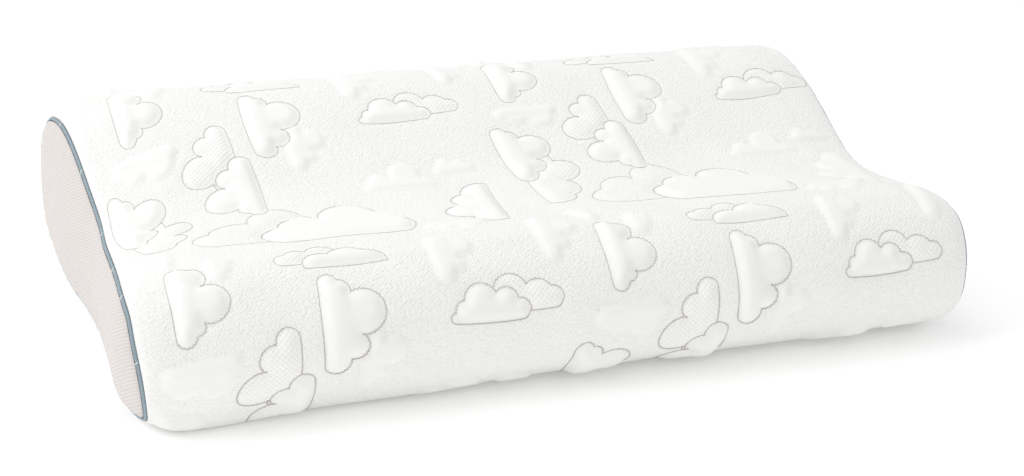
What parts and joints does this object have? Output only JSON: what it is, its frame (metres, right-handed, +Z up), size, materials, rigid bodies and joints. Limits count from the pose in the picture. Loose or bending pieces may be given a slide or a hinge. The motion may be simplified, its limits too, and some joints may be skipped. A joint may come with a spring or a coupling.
{
  "type": "contoured gel pillow",
  "caption": "Contoured foam and gel neck pillow with a low front roll, a shallow valley and a taller back roll, in a quilted knit cover with piped mesh ends.",
  "frame": {"origin": "on the surface that the pillow rests on, under the middle of its box", "axes": "+X along the pillow, +Y from the low front roll to the tall back roll, +Z up"},
  "size_m": [0.621, 0.3937, 0.1354],
  "materials": {
    "knit_cover": "white double-knit jacquard, quilted in soft puffs",
    "spacer_mesh": "ribbed spacer mesh, matt, warm light grey",
    "piping_cord": "blue-grey fabric-covered piping"
  },
  "bodies": {
    "root": {"pillow": "knit_cover", "gusset_left": "spacer_mesh", "gusset_right": "spacer_mesh", "piping_left": "piping_cord", "piping_right": "piping_cord"}
  },
  "joints": []
}
